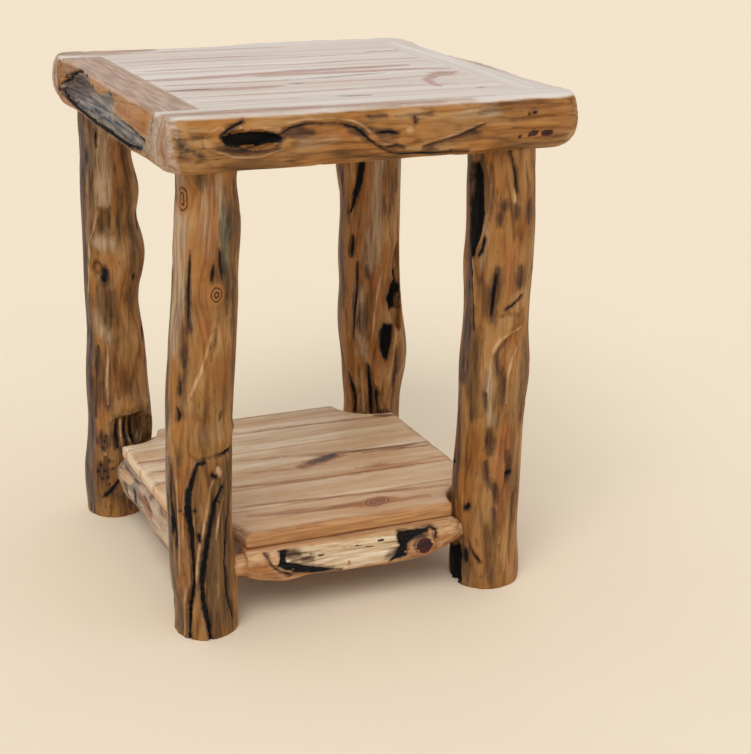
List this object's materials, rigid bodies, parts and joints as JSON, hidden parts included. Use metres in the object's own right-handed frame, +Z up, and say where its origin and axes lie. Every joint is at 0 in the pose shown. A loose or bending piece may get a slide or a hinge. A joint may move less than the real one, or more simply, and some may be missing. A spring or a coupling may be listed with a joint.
{
  "type": "rustic log side table",
  "caption": "Square side table of peeled gnarled logs with a half-log framed board top and a low plank shelf carried on log stretchers.",
  "frame": {"origin": "on the floor, under the middle of the table top's outline", "axes": "+Z up, -Y towards the front of the table, +X to the right seen from the front"},
  "size_m": [0.523, 0.5383, 0.64],
  "materials": {
    "leg_log": "peeled gnarled log, clear satin lacquer, dark bark inclusions",
    "edge_log": "half-log live edge, clear satin lacquer, planed pale top face",
    "stretcher_log": "peeled log, clear satin lacquer",
    "top_board": "pale planed boards, clear satin lacquer",
    "shelf_board": "pale pinkish planed boards, clear satin lacquer",
    "dowel_wood": "plain hardwood dowel",
    "screw_steel": "zinc plated wood screw"
  },
  "bodies": {
    "root": {"top_rail_front": "edge_log", "top_rail_back": "edge_log", "top_rail_left": "edge_log", "top_rail_right": "edge_log", "leg_front_left": "leg_log", "leg_front_right": "leg_log", "leg_back_left": "leg_log", "leg_back_right": "leg_log", "stretcher_front": "stretcher_log", "stretcher_back": "stretcher_log", "stretcher_left": "stretcher_log", "stretcher_right": "stretcher_log", "top_board_1": "top_board", "top_board_2": "top_board", "top_board_3": "top_board", "top_board_4": "top_board", "top_board_5": "top_board", "top_board_6": "top_board", "top_board_7": "top_board", "shelf_board_1": "shelf_board", "shelf_board_2": "shelf_board", "shelf_board_3": "shelf_board", "shelf_board_4": "shelf_board", "shelf_board_5": "shelf_board", "shelf_board_6": "shelf_board", "rail_dowels": "dowel_wood", "shelf_dowels": "dowel_wood", "top_board_screws": "screw_steel", "leg_screws": "screw_steel"}
  },
  "joints": []
}
